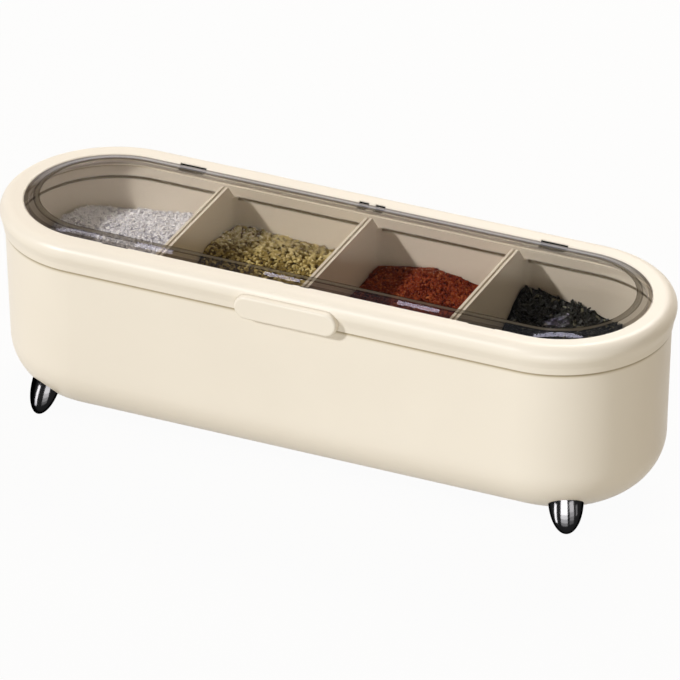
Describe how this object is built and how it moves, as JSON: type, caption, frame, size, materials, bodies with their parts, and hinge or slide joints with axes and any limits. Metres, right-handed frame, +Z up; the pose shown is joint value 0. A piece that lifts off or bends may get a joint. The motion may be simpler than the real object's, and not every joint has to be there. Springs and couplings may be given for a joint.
{
  "type": "spice box",
  "caption": "Long round-ended spice box on bullet feet, with lift-out cups under a hinged lid that has a smoky clear window and a lift handle.",
  "frame": {"origin": "on the floor under the middle of the box", "axes": "+X along the length to the right, +Y to the hinged back, +Z up"},
  "size_m": [0.32, 0.1104, 0.097],
  "materials": {
    "cream_plastic": "satin",
    "cup_plastic": "satin",
    "smoky_window": "clear, smoky",
    "seal_rubber": "matte",
    "chrome": "polished, dark",
    "screw_steel": "plain",
    "salt": "coarse grains",
    "herb": "dry crumbs",
    "chili": "dry flakes",
    "pepper": "dry pieces"
  },
  "bodies": {
    "base": {"shell": "cream_plastic", "foot_front_left": "chrome", "foot_front_right": "chrome", "foot_back_left": "chrome", "foot_back_right": "chrome", "foot_screws": "screw_steel", "cup_left_end": "cup_plastic", "cup_left_middle": "cup_plastic", "cup_right_middle": "cup_plastic", "cup_right_end": "cup_plastic", "salt_fill": "salt", "herb_fill": "herb", "chili_fill": "chili", "pepper_fill": "pepper", "hinge_pin_left": "screw_steel", "hinge_pin_right": "screw_steel"},
    "lid": {"lid_frame": "cream_plastic", "lid_window": "smoky_window", "lid_seal": "seal_rubber", "lid_handle": "cream_plastic", "handle_screws": "screw_steel"}
  },
  "joints": [
    {"name": "lid_hinge", "type": "hinge", "parent": "base", "child": "lid", "pos_m": [0, 0.05385, 0.0892], "axis": [-1, 0, 0], "range_deg": [0, 105]}
  ]
}
